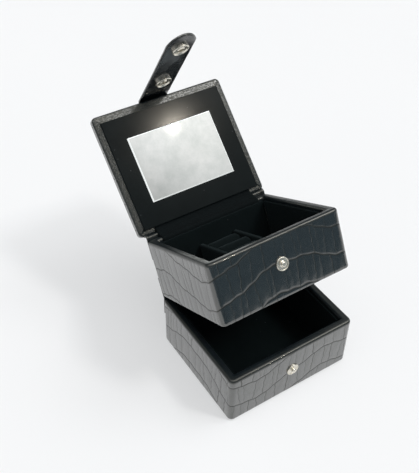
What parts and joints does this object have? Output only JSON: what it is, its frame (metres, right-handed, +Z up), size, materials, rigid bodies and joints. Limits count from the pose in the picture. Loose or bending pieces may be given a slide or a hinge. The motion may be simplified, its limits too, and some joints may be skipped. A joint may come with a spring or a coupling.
{
  "type": "jewelry box",
  "caption": "Small two-tier jewelry box in black crocodile-embossed leatherette, velvet lined, with ring rolls, a mirror lid and a snap strap, standing open.",
  "frame": {"origin": "middle of the underside of the lower tier, on the table", "axes": "+Z up, +X to the right along the front, the snap studs face -Y"},
  "size_m": [0.1114, 0.1971, 0.2239],
  "materials": {
    "croc_leather": "satin, crocodile embossed",
    "strap_lining": "matt, fine grain",
    "board": "raw fibreboard",
    "velvet": "short pile velvet",
    "foam": "open foam",
    "mirror": "polished, bevelled",
    "nickel": "bright nickel plate",
    "base_cloth": "flat woven",
    "woven_tape": "ribbed tape"
  },
  "bodies": {
    "lower_tier": {"lower_cover": "croc_leather", "lower_front_board": "board", "lower_back_board": "board", "lower_left_board": "board", "lower_right_board": "board", "lower_base_board": "board", "lower_front_lining": "velvet", "lower_back_lining": "velvet", "lower_left_lining": "velvet", "lower_right_lining": "velvet", "lower_floor_pad": "velvet", "lower_base_cloth": "base_cloth", "lower_stud": "nickel", "lower_stud_post": "nickel", "tier_hinge_spine": "croc_leather"},
    "upper_tier": {"upper_cover": "croc_leather", "upper_front_board": "board", "upper_back_board": "board", "upper_left_board": "board", "upper_right_board": "board", "upper_base_board": "board", "upper_front_lining": "velvet", "upper_back_lining": "velvet", "upper_left_lining": "velvet", "upper_right_lining": "velvet", "upper_floor_pad": "velvet", "upper_base_cloth": "base_cloth", "upper_stud": "nickel", "upper_stud_post": "nickel", "left_divider": "velvet", "right_divider": "velvet", "ring_block": "velvet", "ring_roll_1": "velvet", "ring_roll_2": "velvet", "ring_roll_3": "velvet", "ring_roll_4": "velvet", "ring_roll_5": "velvet", "lid_hinge_spine": "croc_leather", "lid_hinge_ribbon": "woven_tape"},
    "lid": {"lid_cover": "croc_leather", "lid_board": "board", "lid_pad": "foam", "lid_panel": "velvet", "mirror": "mirror", "mirror_tape": "foam", "strap_root": "croc_leather"},
    "strap": {"strap_flap": "croc_leather", "strap_lining": "strap_lining", "upper_socket": "nickel", "lower_socket": "nickel", "upper_cap": "nickel", "lower_cap": "nickel"}
  },
  "joints": [
    {"name": "tier_hinge", "type": "hinge", "parent": "lower_tier", "child": "upper_tier", "pos_m": [0, 0.0483, 0.0457], "axis": [-1, 0, 0], "range_deg": [-28, 62], "deforming": ["tier_hinge_spine"]},
    {"name": "lid_hinge", "type": "hinge", "parent": "upper_tier", "child": "lid", "pos_m": [0, 0.07027, 0.08702], "axis": [-1, 0, 0], "range_deg": [-108.5, 0], "deforming": ["lid_hinge_spine", "lid_hinge_ribbon"]},
    {"name": "strap_fold", "type": "hinge", "parent": "lid", "child": "strap", "pos_m": [0, 0.14405, 0.14932], "axis": [-1, 0, 0], "range_deg": [-9.5, 80.5], "deforming": ["strap_root"]}
  ]
}
